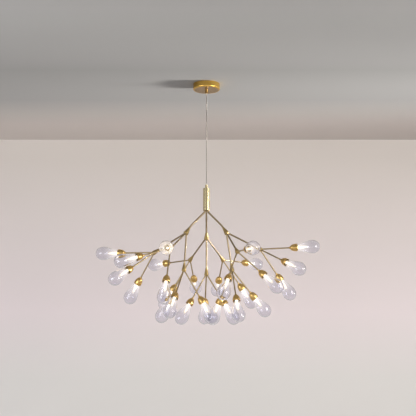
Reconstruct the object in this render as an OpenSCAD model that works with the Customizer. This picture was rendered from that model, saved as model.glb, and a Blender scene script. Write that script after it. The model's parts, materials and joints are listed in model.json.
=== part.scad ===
// Branching pendant light: a round ceiling canopy, one suspension cable, a hub tube with
// three main arms, nine branch arms, and twenty-seven lamps in clear teardrop shades.
// The origin is in the ceiling plane, over the middle of the canopy. +Z is up, and the
// back arm points along +Y. Every part hangs below the origin.

/* [Ceiling canopy] */
// Outside diameter of the canopy
canopy_d = 120; // [116:1:160]
// Height of the canopy below the ceiling
canopy_h = 28; // [26:1:45]
// Wall of the canopy
canopy_wall = 1.2; // [0.8:0.1:2]
// Radius of the canopy's lower edge
canopy_edge_r = 5.5; // [1:0.5:6]

/* [Mounting bracket] */
// Metal left between each screw slot and the crossbar's end
bracket_edge = 4.5; // [3:0.5:6]
// Width of the crossbar
bracket_w = 20; // [16:1:22]
// Thickness of the crossbar
bracket_t = 2; // [1.5:0.5:3]
// Drop of the crossbar's middle below the ceiling pads
bracket_drop = 8; // [7:0.5:9]
// Length of the crossbar's lowered middle
bracket_mid_l = 36; // [30:1:40]
// Run of each sloping leg of the crossbar
bracket_leg = 5; // [3:1:7]
// Distance between the two ceiling screw slots
screw_spacing = 76; // [72:1:78]
// Width of a ceiling screw slot
slot_w = 5; // [4:0.5:6]
// Length of a ceiling screw slot, end to end
slot_l = 13; // [9:1:14]

/* [Threaded nipple] */
// Outside diameter of the threaded nipple
nipple_d = 10; // [8:0.5:12]
// Wall of the threaded nipple
nipple_wall = 1.4; // [1:0.1:2]
// Length of the nipple above the crossbar
nipple_top = 4; // [3.5:0.5:5]
// Depth of thread in the canopy grip
nipple_grip = 4; // [3:0.5:6]
// Width across the flats of a nipple nut
nut_af = 14; // [13:0.5:17]
// Thickness of a nipple nut
nut_t = 3; // [2:0.5:3]

/* [Canopy wiring] */
// Length of the driver case
driver_l = 60; // [40:1:62]
// Width of the driver case
driver_w = 33; // [20:1:34]
// Height of the driver case
driver_h = 20; // [12:1:22]
// Length of the terminal block
block_l = 32; // [24:1:40]
// Width of the terminal block
block_w = 16; // [12:1:20]
// Height of the terminal block
block_h = 12; // [9:1:16]
// Gap between the crossbar and what lies beside it
wiring_gap = 3; // [2:0.5:4]
// Number of poles on the terminal block
block_poles = 3; // [2:1:3]

/* [Suspension] */
// Outside diameter of the suspension cable
cable_d = 3.2; // [2.5:0.1:4]
// Free length of cable between its two grips
cable_free = 418; // [200:1:1500]
// Outside diameter of the canopy grip
canopy_grip_d = 14; // [13.5:0.5:18]
// Length of the canopy grip
canopy_grip_l = 15; // [15:0.5:20]
// Diameter of the swivel ball
ball_d = 9; // [8.5:0.1:9.4]
// Diameter of the bead on the cable's upper end
bead_d = 5.4; // [5.2:0.1:5.8]
// Swing that the flared mouths allow, each way
swing_room = 21; // [12:1:22]

/* [Hub] */
// Outside diameter of the hub tube
hub_d = 30; // [29:0.5:40]
// Wall of the hub tube
hub_wall = 1.2; // [0.8:0.1:1.5]
// Length of the hub tube
hub_tube_l = 95; // [70:1:140]
// Thickness of each end cap's visible rim
hub_rim_t = 3; // [2:0.5:6]
// Depth of each end cap inside the tube
hub_plug_l = 11; // [8:0.5:16]
// Outside diameter of the hub grip
hub_grip_d = 12; // [10:0.5:16]
// Length of the hub grip
hub_grip_l = 17; // [10:0.5:30]
// Diameter of the crimped stop on the cable
stop_d = 8; // [6:0.5:10]
// Length of the crimped stop
stop_l = 10; // [6:0.5:14]
// Height of the wire connector in the hub
connector_h = 12; // [8:1:16]
// Depth of the wire connector below the crimped stop
connector_drop = 24; // [14:1:28]
// Diameter of a lead wire
lead_d = 2; // [1.4:0.1:2.4]

/* [Main arms] */
// Outside diameter of a main arm
main_d = 8; // [7:0.5:8.5]
// Distance of the arms from the hub's axis where they leave it
exit_r = 9; // [8.5:0.1:9.2]
// Straight drop of an arm below the hub
exit_drop = 2; // [2:0.5:20]
// Bend radius of an arm below the hub
exit_bend_r = 10; // [10:0.5:30]
// Dip of a main arm below the horizontal
main_dip = 44; // [35:1:50]
// Straight length of a main arm
main_l = 85; // [60:1:160]
// Bend radius of an arm near its fork
fork_bend_r = 60; // [30:1:90]
// Dip of a main fork's axis below the horizontal
fork_dip = 54; // [52:1:60]
// Turn of the back, left and right main forks about their arms
main_turn = [0, 0, 16]; // [0:1:20]

/* [Branch arms and stems] */
// Outside diameter of a branch arm
branch_d = 7; // [6:0.5:7.5]
// Length of a branch arm from fork to fork
branch_l = 163; // [140:1:200]
// Splay of the branch arms from their fork's axis
branch_splay = 32; // [28:0.5:35]
// Outside diameter of a lamp stem
stem_d = 6; // [5:0.5:6.5]
// Length of a lamp stem from its fork to the mouth of its cup
stem_l = 164; // [140:1:180]
// Splay of the lamp stems from their fork's axis
lamp_splay = 34; // [30:0.5:36]
// Wall of the arms and stems
tube_wall = 0.8; // [0.6:0.1:1]
// Loss of wall on each face of a tube where it is bent
bend_thinning = 0.05; // [0.04:0.01:0.1]
// Overlap of a bend and the straight tube beside it
bend_lap = 0.4; // [0.3:0.1:0.6]
// Turns of the back main fork's lower, left and right lamp forks
back_turns = [56, 10, 104]; // [0:1:120]
// Turns of the left main fork's lower, front and outer lamp forks
left_turns = [19, 108, 101]; // [0:1:120]
// Turns of the right main fork's lower, outer and front lamp forks
right_turns = [109, 3, 84]; // [0:1:120]

/* [Forks] */
// Length of a fork's cone
fork_l = 32; // [28:0.5:45]
// Wall of a fork's cone
fork_wall = 1.2; // [0.8:0.1:1.6]
// Metal left between two outlets of a fork
outlet_web = 3.6; // [2.5:0.1:6]
// Metal left outside an outlet of a fork
outlet_rim = 2; // [1.5:0.1:4]
// Length of a fork's collar around its arm
collar_l = 4; // [3:0.5:8]
// Wall of that collar
collar_wall = 1.4; // [1:0.1:2]
// Length of a fork's bearing on its arm
bearing_l = 13; // [8:0.5:15]
// Height of the stop ring on an arm's end
ring_h = 1; // [0.6:0.1:1.2]
// Width of that stop ring
ring_w = 2.2; // [1:0.1:3]
// Thickness of a fork's outlet plug at its rim
plug_t = 3; // [2:0.5:4]
// Ledge that the outlet plug sits on
plug_ledge = 1; // [0.6:0.1:1.2]

/* [Lamp cups] */
// Outside diameter of a lamp cup's mouth
cup_d = 33; // [32:0.5:40]
// Length of a lamp cup
cup_l = 36; // [34:0.5:46]
// Wall of a lamp cup
cup_wall = 1.2; // [0.8:0.1:1.4]
// Length of the cup's straight skirt
skirt_l = 6; // [4:0.5:7]
// Length of the cup's collar around its stem
cup_collar_l = 5; // [3:0.5:7]
// Fullness of the cup's bell: 1 is a cone and 2 an ellipse
cup_fullness = 1.8; // [1.4:0.1:2.2]
// Depth of the retaining ring's seat below the mouth
ring_seat = 8; // [7:0.5:9]
// Thickness of the retaining ring
retainer_t = 3; // [2:0.5:4]

/* [Lamps] */
// Diameter of a lampholder
holder_d = 12; // [10:0.5:13]
// Length of a lampholder
holder_l = 12; // [9:0.5:13]
// Diameter of a capsule lamp
capsule_d = 15; // [10:0.5:17]
// Length of a capsule lamp
capsule_l = 62; // [40:1:66]
// Length of the capsule's base
capsule_base_l = 5; // [3:0.5:8]
// Diameter of a lamp pin
pin_d = 1; // [0.7:0.1:1.2]
// Distance between the two lamp pins
pin_pitch = 4; // [4:0.1:6]
// Length of a lamp pin
pin_l = 6; // [4:0.5:7.5]

/* [Glass shades] */
// Greatest diameter of a glass shade
shade_d = 58; // [50:1:70]
// Length of a glass shade past the cup's mouth
shade_l = 101; // [90:1:120]
// Length of the shade's round end
shade_end_l = 32; // [28:1:40]
// Diameter of the shade's neck
neck_d = 24; // [22:0.5:25]
// Wall of the glass
glass_wall = 1.5; // [1:0.1:2]
// Height of the bead around the neck's end
bead_h = 1; // [0.6:0.1:1.1]
// Width of that bead
bead_w = 2.6; // [1.5:0.1:3]

/* [Fits] */
// Running and sliding clearance on a radius
slip = 0.05; // [0.02:0.01:0.09]
// Play along an axis at a stop
play = 0.2; // [0.1:0.05:0.5]
// Gap on a radius in a crimped or brazed joint
braze_gap = 0.02; // [0.01:0.01:0.05]
// Gap at the foot of a brazed tube
braze_foot = 0.1; // [0.05:0.05:0.2]

/* [Hidden] */
$fn = 48;
profile_steps = 8;
mains = ["back", "left", "right"];
branches = [
    ["back_lower", "back_left", "back_right"],
    ["left_lower", "left_front", "left_outer"],
    ["right_lower", "right_outer", "right_front"]
];
lamp_turns = [back_turns, left_turns, right_turns];
first_arm_angle = 90;
turn_third = 120;
sides = [0, 1, 2];

// heights in the canopy, all below the ceiling
floor_z = canopy_wall - canopy_h;
pan_z = -bracket_drop - bracket_t;
nipple_r = nipple_d / 2;
nipple_top_z = pan_z + bracket_t + nipple_top;
nipple_end_z = -canopy_h - nipple_grip;
beside_bracket = bracket_w / 2 + wiring_gap;

// the canopy grip and the ball in it
ball_r = ball_d / 2;
bead_r = bead_d / 2;
cable_r = cable_d / 2;
pivot_z = nipple_end_z - play - ball_r;
grip_end_z = -canopy_h - canopy_grip_l;
seat_mouth_r = ball_r * 0.77;
seat_mouth_z = pivot_z - sqrt(pow(ball_r + slip, 2) - pow(seat_mouth_r, 2));
ball_mouth_r = cable_r + slip + ball_r * tan(swing_room);

// heights of the hub
hub_r = hub_d / 2;
hub_in_r = hub_r - hub_wall;
hub_grip_z = grip_end_z - cable_free;
hub_cap_z = hub_grip_z - hub_grip_l;
tube_top_z = hub_cap_z - hub_rim_t;
tube_end_z = tube_top_z - hub_tube_l;
hub_end_z = tube_end_z - hub_rim_t;
cap_end_z = tube_top_z - hub_plug_l;
base_top_z = tube_end_z + hub_plug_l;
stop_top_z = cap_end_z - play;
stop_end_z = stop_top_z - stop_l;
connector_z = stop_end_z - connector_drop;
connector_end_z = connector_z - connector_h;
arm_top_z = base_top_z + 3;
lead_r = lead_d / 2;
thread_r = hub_grip_d / 3;
thread_l = hub_rim_t + 2;

// tube radii
main_r = main_d / 2;
branch_r = branch_d / 2;
stem_r = stem_d / 2;

// a fork, from the tube that it holds and the tubes that leave it
function half_apart(splay) = asin(sin(splay) * sin(60));
function outlet_t(out_r, splay) = (out_r + outlet_web / 2) / sin(half_apart(splay));
function tube_start(out_r, splay) = out_r / tan(half_apart(splay)) + 0.8;
function rim_r(out_r, splay) = outlet_t(out_r, splay) * sin(splay) + out_r * cos(splay) + outlet_rim;
function rim_z(out_r, splay) = (outlet_t(out_r, splay) - rim_r(out_r, splay) * sin(splay)) / cos(splay);
function inlet_z(out_r, splay) = rim_z(out_r, splay) - fork_l;
function tube_end(out_r, splay) = inlet_z(out_r, splay) + bearing_l + play + ring_w + 1;

// the path of a main arm, as distance from the hub's axis and height
spigot_l = 8 - inlet_z(branch_r, branch_splay);
bend_1 = [exit_r, hub_end_z - exit_drop];
bend_1_end = bend_1 + exit_bend_r * [1 - sin(main_dip), -cos(main_dip)];
bend_2 = bend_1_end + main_l * [cos(main_dip), -sin(main_dip)];
bend_2_end = bend_2 + fork_bend_r * [sin(fork_dip) - sin(main_dip), cos(fork_dip) - cos(main_dip)];
main_fork_at = bend_2_end + spigot_l * [cos(fork_dip), -sin(fork_dip)];

// a lamp cup, from its mouth at 0 back to its collar
cup_r = cup_d / 2;
cup_collar_r = stem_r + collar_wall;
bell_z = cup_collar_l - cup_l;
mouth_in_r = cup_r - cup_wall;
holder_z = -cup_l + 10;
holder_top_z = holder_z + holder_l;
neck_r = neck_d / 2;
holder_wall_z = holder_z + 6;
function bell_share(u) = pow(1 - pow(1 - u, cup_fullness), 1 / cup_fullness);
function bell_r(z) = z > -skirt_l ? cup_r
    : cup_collar_r + (cup_r - cup_collar_r) * bell_share((z - bell_z) / (-skirt_l - bell_z));

// a glass shade: a Bezier curve from the neck to the widest place, then a round end
shade_r = shade_d / 2;
widest_z = shade_l - shade_end_l;
function bezier(p, u) = pow(1 - u, 3) * p[0] + 3 * u * pow(1 - u, 2) * p[1]
    + 3 * pow(u, 2) * (1 - u) * p[2] + pow(u, 3) * p[3];
function shade_curve(inset) = [
    [neck_r - inset, 0],
    [neck_r - inset + 2.5, widest_z * 0.29],
    [shade_r - inset, widest_z * 0.65],
    [shade_r - inset, widest_z]
];
function shade_side(inset) = [for (i = [0:profile_steps]) bezier(shade_curve(inset), i / profile_steps)];
function shade_end(inset) = [
    for (i = [1:profile_steps - 1]) let (a = 90 * i / profile_steps)
        [(shade_r - inset) * cos(a), widest_z + (shade_end_l - inset) * sin(a)]
];
function reversed(list) = [for (i = [len(list) - 1:-1:0]) list[i]];

// places: each moves its children into the frame of a fork or a lamp

module at_main_fork(m) {
    rotate([0, 0, first_arm_angle + turn_third * m])
        translate([main_fork_at[0], 0, main_fork_at[1]])
            rotate([0, 90 + fork_dip, 0])
                rotate([0, 0, main_turn[m]])
                    children();
}

module at_branch(m, b) {
    at_main_fork(m)
        rotate([0, 0, turn_third * b])
            rotate([0, branch_splay, 0])
                children();
}

module at_lamp_fork(m, b) {
    at_branch(m, b)
        translate([0, 0, branch_l])
            rotate([0, 0, lamp_turns[m][b]])
                children();
}

module at_stem(m, b, s) {
    at_lamp_fork(m, b)
        rotate([0, 0, turn_third * s])
            rotate([0, lamp_splay, 0])
                children();
}

module at_mouths(m, b) {
    for (s = sides)
        at_stem(m, b, s)
            translate([0, 0, stem_l])
                children();
}

// shapes that repeat

module tube_section(r, thinning = 0) {
    difference() {
        circle(r - thinning);
        circle(r - tube_wall + thinning);
    }
}

module tube(r, from_z, to_z) {
    translate([0, 0, from_z])
        linear_extrude(to_z - from_z)
            tube_section(r);
}

module stop_ring(r, z) {
    translate([0, 0, z])
        linear_extrude(ring_w)
            difference() {
                circle(r + ring_h);
                circle(r - tube_wall);
            }
}

// a tube whose far end turns in a fork and is kept there by a stop ring
module held_tube(r, from_z, to_z) {
    tube(r, from_z, to_z);
    stop_ring(r, to_z - 1 - ring_w);
}

// an arc of tube in the plane of an arm, about a centre given as [distance, height]
module tube_arc(r, centre, bend_r, from_angle, to_angle) {
    translate([centre[0], 0, centre[1]])
        rotate([90, 0, 0])
            rotate([0, 0, from_angle])
                rotate_extrude(angle = to_angle - from_angle)
                    translate([bend_r, 0])
                        tube_section(r, bend_thinning);
}

// the hollow cone of a fork, with the fork's axis on Z and its tubes meeting at 0
module fork_cone(in_r, out_r, splay) {
    rim = rim_r(out_r, splay);
    top = rim_z(out_r, splay);
    low = inlet_z(out_r, splay);
    bearing = low + bearing_l;
    seat = rim - fork_wall;
    rotate_extrude()
        polygon([
            [in_r + slip, low],
            [in_r + collar_wall, low],
            [in_r + collar_wall, low + collar_l],
            [rim, top - plug_t],
            [rim, top],
            [seat, top],
            [seat, top - plug_t],
            [seat - plug_ledge, top - plug_t],
            [in_r + ring_h + 2 * play, bearing],
            [in_r + slip, bearing]
        ]);
}

// the plug that closes a fork's wide end and holds the three tubes that leave it
module fork_plug(out_r, splay) {
    rim = rim_r(out_r, splay);
    top = rim_z(out_r, splay);
    tip_r = 2;
    tip_z = (outlet_t(out_r, splay) - tip_r * sin(splay)) / cos(splay);
    start = tube_start(out_r, splay);
    seat = rim - fork_wall - slip;
    difference() {
        rotate_extrude()
            polygon([[0, top - plug_t], [seat, top - plug_t], [seat, top], [rim, top], [tip_r, tip_z], [0, tip_z]]);
        translate([0, 0, top - plug_t - 1])
            cylinder(r = out_r, h = start * cos(splay) - top + plug_t + 1);
        for (s = sides)
            rotate([0, 0, turn_third * s])
                rotate([0, splay, 0])
                    translate([0, 0, start])
                        cylinder(r = out_r + braze_gap, h = outlet_t(out_r, splay));
    }
}

module hex_nut(z) {
    translate([0, 0, z])
        difference() {
            cylinder(r = nut_af / 2 / cos(30), h = nut_t, $fn = 6);
            translate([0, 0, -1])
                cylinder(r = nipple_r + slip, h = nut_t + 2);
        }
}

// parts in and under the ceiling canopy

module mounting_bracket() {
    end_x = (screw_spacing + slot_l) / 2 + bracket_edge;
    mid_x = bracket_mid_l / 2;
    pad_x = mid_x + bracket_leg;
    half_slot = (slot_l - slot_w) / 2;
    color("silver")
        difference() {
            rotate([90, 0, 0])
                linear_extrude(bracket_w, center = true)
                    polygon([
                        [-end_x, 0], [-pad_x, 0], [-mid_x, pan_z + bracket_t],
                        [mid_x, pan_z + bracket_t], [pad_x, 0], [end_x, 0],
                        [end_x, -bracket_t], [pad_x - 1, -bracket_t], [mid_x - 1, pan_z],
                        [1 - mid_x, pan_z], [1 - pad_x, -bracket_t], [-end_x, -bracket_t]
                    ]);
            translate([0, 0, pan_z - 1])
                cylinder(r = nipple_r + slip, h = bracket_t + 2);
            for (side = [-1, 1])
                translate([side * screw_spacing / 2, 0, -bracket_t - 1]) {
                    for (end = [-1, 1])
                        translate([end * half_slot, 0, 0])
                            cylinder(r = slot_w / 2, h = bracket_t + 2);
                    translate([-half_slot, -slot_w / 2, 0])
                        cube([2 * half_slot, slot_w, bracket_t + 2]);
                }
        }
}

module canopy() {
    outer = canopy_d / 2;
    inner = outer - canopy_wall;
    low = canopy_edge_r;
    edge_in = max(canopy_edge_r - canopy_wall, 0.2);
    color("goldenrod")
        rotate_extrude()
            polygon(concat(
                [[inner, 0], [outer, 0]],
                [for (a = [0:22.5:90]) [outer - low + low * cos(a), low - canopy_h - low * sin(a)]],
                [[nipple_r + slip, -canopy_h], [nipple_r + slip, floor_z]],
                [for (a = [90:-22.5:0]) [inner - edge_in + edge_in * cos(a), floor_z + edge_in - edge_in * sin(a)]]
            ));
}

module led_driver() {
    color("whitesmoke")
        translate([-driver_l / 2, beside_bracket, floor_z])
            cube([driver_l, driver_w, driver_h]);
}

module terminal_block() {
    pitch = block_l / block_poles;
    port_r = pitch / 5;
    color("ivory")
        translate([-block_l / 2, -beside_bracket - block_w, floor_z])
            difference() {
                cube([block_l, block_w, block_h]);
                for (p = [0:block_poles - 1])
                    translate([pitch * (p + 0.5), 0, 0]) {
                        translate([0, -1, block_h * 0.35])
                            rotate([-90, 0, 0])
                                cylinder(r = port_r, h = block_w + 2);
                        translate([0, block_w / 2, block_h * 0.6])
                            cylinder(r = port_r * 0.8, h = block_h);
                    }
            }
}

module threaded_nipple() {
    color("gainsboro")
        translate([0, 0, nipple_end_z])
            linear_extrude(nipple_top_z - nipple_end_z)
                difference() {
                    circle(nipple_r);
                    circle(nipple_r - nipple_wall);
                }
}

module nipple_nuts() {
    color("gainsboro") {
        hex_nut(pan_z + bracket_t);
        hex_nut(pan_z - nut_t);
        hex_nut(floor_z);
    }
}

module canopy_grip() {
    r = canopy_grip_d / 2;
    flare_z = grip_end_z + 0.6;
    flare_r = seat_mouth_r + (seat_mouth_z - grip_end_z) * tan(swing_room);
    color("goldenrod")
        rotate_extrude()
            polygon(concat(
                [[nipple_r + slip, -canopy_h], [r, -canopy_h], [r, flare_z], [r - 0.6, grip_end_z]],
                [[flare_r, grip_end_z], [seat_mouth_r, seat_mouth_z]],
                [for (i = [1:profile_steps]) let (a = acos(seat_mouth_r / (ball_r + slip)) * (1 - i / profile_steps))
                    [(ball_r + slip) * cos(a), pivot_z - (ball_r + slip) * sin(a)]],
                [[ball_r + slip, nipple_end_z], [nipple_r + slip, nipple_end_z]]
            ));
}

module swivel_ball() {
    color("silver")
        translate([0, 0, pivot_z])
            difference() {
                sphere(ball_r);
                sphere(bead_r + slip);
                cylinder(r = bead_r + slip, h = ball_r + 1);
                rotate([180, 0, 0])
                    cylinder(r = cable_r + slip, h = ball_r + 1);
                rotate([180, 0, 0])
                    translate([0, 0, 0.3])
                        cylinder(r1 = cable_r + slip, r2 = ball_mouth_r, h = ball_r);
            }
}

module suspension_cable() {
    color("darkgray") {
        translate([0, 0, pivot_z])
            sphere(bead_r);
        translate([0, 0, stop_end_z - 1])
            cylinder(r = cable_r, h = pivot_z - stop_end_z + 1);
    }
}

module cable_stop() {
    color("silver")
        translate([0, 0, stop_end_z])
            linear_extrude(stop_l)
                difference() {
                    circle(stop_d / 2);
                    circle(cable_r + braze_gap);
                }
}

// the hub

module hub_grip() {
    r = hub_grip_d / 2;
    chamfer = 1;
    color("goldenrod")
        rotate_extrude()
            polygon([
                [cable_r + slip, hub_grip_z], [r - chamfer, hub_grip_z], [r, hub_grip_z - chamfer],
                [r, hub_cap_z], [thread_r, hub_cap_z], [thread_r, hub_cap_z - thread_l],
                [cable_r + slip, hub_cap_z - thread_l]
            ]);
}

module hub_cap() {
    chamfer = 1;
    color("goldenrod")
        rotate_extrude()
            polygon([
                [thread_r + slip, hub_cap_z], [hub_r - chamfer, hub_cap_z], [hub_r, hub_cap_z - chamfer],
                [hub_r, tube_top_z], [hub_in_r - slip, tube_top_z], [hub_in_r - slip, cap_end_z],
                [cable_r + slip, cap_end_z], [cable_r + slip, hub_cap_z - thread_l - slip],
                [thread_r + slip, hub_cap_z - thread_l - slip]
            ]);
}

module hub_tube() {
    color("goldenrod")
        translate([0, 0, tube_end_z])
            linear_extrude(hub_tube_l)
                difference() {
                    circle(hub_r);
                    circle(hub_in_r);
                }
}

module hub_base() {
    chamfer = 1.5;
    color("goldenrod")
        difference() {
            rotate_extrude()
                polygon([
                    [0, hub_end_z], [hub_r - chamfer, hub_end_z], [hub_r, hub_end_z + chamfer],
                    [hub_r, tube_end_z], [hub_in_r - slip, tube_end_z], [hub_in_r - slip, base_top_z],
                    [0, base_top_z]
                ]);
            for (m = sides)
                rotate([0, 0, first_arm_angle + turn_third * m])
                    translate([exit_r, 0, hub_end_z - 1])
                        cylinder(r = main_r + slip, h = base_top_z - hub_end_z + 2);
        }
}

module wire_connector() {
    color("ivory")
        translate([0, 0, connector_end_z])
            cylinder(r = hub_in_r - play, h = connector_h);
    color("firebrick") {
        translate([0, 0, connector_z])
            cylinder(r = lead_r, h = stop_end_z - 1 - play - connector_z);
        for (m = sides)
            rotate([0, 0, first_arm_angle + turn_third * m])
                translate([exit_r, 0, arm_top_z - 3])
                    cylinder(r = lead_r, h = connector_end_z - arm_top_z + 3);
    }
}

// the arms

module main_arm(m) {
    color("darkkhaki")
        rotate([0, 0, first_arm_angle + turn_third * m]) {
            translate([exit_r, 0, 0])
                tube(main_r, bend_1[1] - bend_lap, arm_top_z);
            tube_arc(main_r, bend_1 + [exit_bend_r, 0], exit_bend_r, 180, 270 - main_dip);
            translate([bend_1_end[0], 0, bend_1_end[1]])
                rotate([0, 90 + main_dip, 0])
                    tube(main_r, -bend_lap, main_l + bend_lap);
            tube_arc(main_r, bend_2 - fork_bend_r * [sin(main_dip), cos(main_dip)], fork_bend_r,
                90 - fork_dip, 90 - main_dip);
            translate([main_fork_at[0], 0, main_fork_at[1]])
                rotate([0, 90 + fork_dip, 0])
                    held_tube(main_r, -spigot_l - bend_lap, tube_end(branch_r, branch_splay));
        }
}

module main_fork(m) {
    color("peru")
        at_main_fork(m) {
            fork_cone(main_r, branch_r, branch_splay);
            fork_plug(branch_r, branch_splay);
        }
}

module branch_arms(m) {
    color("darkkhaki")
        for (b = sides)
            at_branch(m, b)
                held_tube(branch_r, tube_start(branch_r, branch_splay) + braze_foot,
                    branch_l + tube_end(stem_r, lamp_splay));
}

module lamp_fork(m, b) {
    color("peru")
        at_lamp_fork(m, b) {
            fork_cone(branch_r, stem_r, lamp_splay);
            fork_plug(stem_r, lamp_splay);
        }
    color("darkkhaki")
        for (s = sides)
            at_stem(m, b, s)
                tube(stem_r, tube_start(stem_r, lamp_splay) + braze_foot, stem_l + holder_z - play);
}

// the lamps

module cup_shell() {
    bell = [for (i = [0:profile_steps]) bell_z + (-skirt_l - bell_z) * pow(i / profile_steps, 2)];
    inside = [for (i = [0:4]) -ring_seat + (holder_wall_z + ring_seat) * i / 4];
    rotate_extrude()
        polygon(concat(
            [[stem_r + slip, -cup_l], [cup_collar_r, -cup_l]],
            [for (z = bell) [bell_r(z), z]],
            [[cup_r, 0], [mouth_in_r, 0], [mouth_in_r, -ring_seat]],
            [for (z = inside) [bell_r(z) - cup_wall, z]],
            [[holder_d / 2 + play, holder_wall_z], [holder_d / 2 + play, holder_z], [stem_r + slip, holder_z]]
        ));
}

module retaining_ring() {
    rotate_extrude()
        translate([neck_r + slip, -ring_seat])
            square([mouth_in_r - neck_r - 2 * slip, retainer_t]);
}

module lamp_cups(m, b) {
    color("goldenrod")
        at_mouths(m, b) {
            cup_shell();
            retaining_ring();
        }
}

module lampholder() {
    difference() {
        translate([0, 0, holder_z])
            cylinder(d = holder_d, h = holder_l);
        for (side = [-1, 1])
            translate([side * pin_pitch / 2, 0, holder_top_z - pin_l - play])
                cylinder(d = pin_d + 2 * slip, h = pin_l + 1);
    }
}

module capsule_lamp() {
    r = capsule_d / 2;
    base_r = holder_d / 2 - 1.5;
    body_z = holder_top_z + capsule_base_l;
    end_z = holder_top_z + capsule_l;
    rotate_extrude()
        polygon(concat(
            [[0, holder_top_z], [base_r, holder_top_z], [base_r, body_z - 1], [r, body_z]],
            [for (i = [0:profile_steps]) let (a = 90 * i / profile_steps)
                [max(r * cos(a), 0), end_z - r + r * sin(a)]]
        ));
    for (side = [-1, 1])
        translate([side * pin_pitch / 2, 0, holder_top_z - pin_l])
            cylinder(d = pin_d, h = pin_l + 1);
}

module lamps(m, b) {
    color("moccasin")
        at_mouths(m, b) {
            lampholder();
            capsule_lamp();
        }
}

module glass_shade() {
    bead_z = -ring_seat - play;
    rotate_extrude()
        polygon(concat(
            [[neck_r - glass_wall, bead_z - bead_w], [neck_r + bead_h, bead_z - bead_w]],
            [[neck_r + bead_h, bead_z], [neck_r, bead_z]],
            shade_side(0),
            shade_end(0),
            [[0, shade_l], [0, shade_l - glass_wall]],
            reversed(shade_end(glass_wall)),
            reversed(shade_side(glass_wall))
        ));
}

module glass_shades(m, b) {
    color("lightcyan", 0.35)
        at_mouths(m, b)
            glass_shade();
}

mounting_bracket();
canopy();
led_driver();
terminal_block();
threaded_nipple();
nipple_nuts();
canopy_grip();
swivel_ball();
suspension_cable();
cable_stop();
hub_grip();
hub_cap();
hub_tube();
hub_base();
wire_connector();
for (m = sides) {
    main_arm(m);
    main_fork(m);
    branch_arms(m);
    for (b = sides) {
        lamp_fork(m, b);
        lamp_cups(m, b);
        lamps(m, b);
        glass_shades(m, b);
    }
}
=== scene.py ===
"""Dresses the branching pendant chandelier: aged brass, blown glass, lit capsule lamps and a pale room."""
import json
import math

import bpy
from bpy.props import FloatProperty, FloatVectorProperty, IntProperty, PointerProperty
from mathutils import Matrix, Vector


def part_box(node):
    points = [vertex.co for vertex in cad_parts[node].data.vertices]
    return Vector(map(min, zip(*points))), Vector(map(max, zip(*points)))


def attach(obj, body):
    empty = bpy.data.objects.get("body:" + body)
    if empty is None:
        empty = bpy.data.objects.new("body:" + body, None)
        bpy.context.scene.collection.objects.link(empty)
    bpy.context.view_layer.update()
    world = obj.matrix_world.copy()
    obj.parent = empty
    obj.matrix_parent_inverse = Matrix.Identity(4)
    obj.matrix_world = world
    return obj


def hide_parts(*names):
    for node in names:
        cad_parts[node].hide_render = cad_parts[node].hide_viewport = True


bl_info = {
    "name": "Branching Chandelier",
    "version": (1, 0, 0),
    "blender": (4, 5, 0),
    "location": "3D View > Sidebar > Chandelier",
    "description": "Models the lamps, shades, cups and forks of a branching pendant light in its CAD frame",
    "category": "Object",
}

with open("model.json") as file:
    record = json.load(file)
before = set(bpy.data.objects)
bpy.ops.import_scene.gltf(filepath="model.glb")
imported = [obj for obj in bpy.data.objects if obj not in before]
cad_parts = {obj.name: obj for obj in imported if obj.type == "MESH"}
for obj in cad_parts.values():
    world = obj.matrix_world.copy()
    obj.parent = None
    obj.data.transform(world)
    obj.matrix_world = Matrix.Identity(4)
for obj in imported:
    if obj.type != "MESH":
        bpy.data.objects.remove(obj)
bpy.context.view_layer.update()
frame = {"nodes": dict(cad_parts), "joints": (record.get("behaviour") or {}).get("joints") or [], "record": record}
NODES = frame["nodes"]
JOINTS = {joint["name"]: joint for joint in frame["joints"]}

MAINS = ("back", "left", "right")
CLUSTERS = {
    "back": ("back_lower", "back_left", "back_right"),
    "left": ("left_lower", "left_front", "left_outer"),
    "right": ("right_lower", "right_outer", "right_front"),
}
MAIN_TURNS = {"back": 0, "left": 0, "right": 16}
CLUSTER_TURNS = {
    "back_lower": 56, "back_left": 10, "back_right": 104,
    "left_lower": 19, "left_front": 108, "left_outer": 101,
    "right_lower": 109, "right_outer": 3, "right_front": 84,
}
THIRDS = (0, 120, 240)
COLLAR_WALL = 0.0014
HOLDER_FOOT = -0.026


def length(name, description, default):
    """A length property in metres."""
    return FloatProperty(name=name, description=description, default=default, min=0.0, unit="LENGTH", precision=4)


def angle(name, description, degrees):
    """An angle property, given here in degrees."""
    return FloatProperty(name=name, description=description, default=math.radians(degrees), unit="ROTATION")


def tint(name, description, default):
    """A colour property."""
    return FloatVectorProperty(
        name=name, description=description, default=default, subtype="COLOR", size=3, min=0.0, max=1.0)


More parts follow.
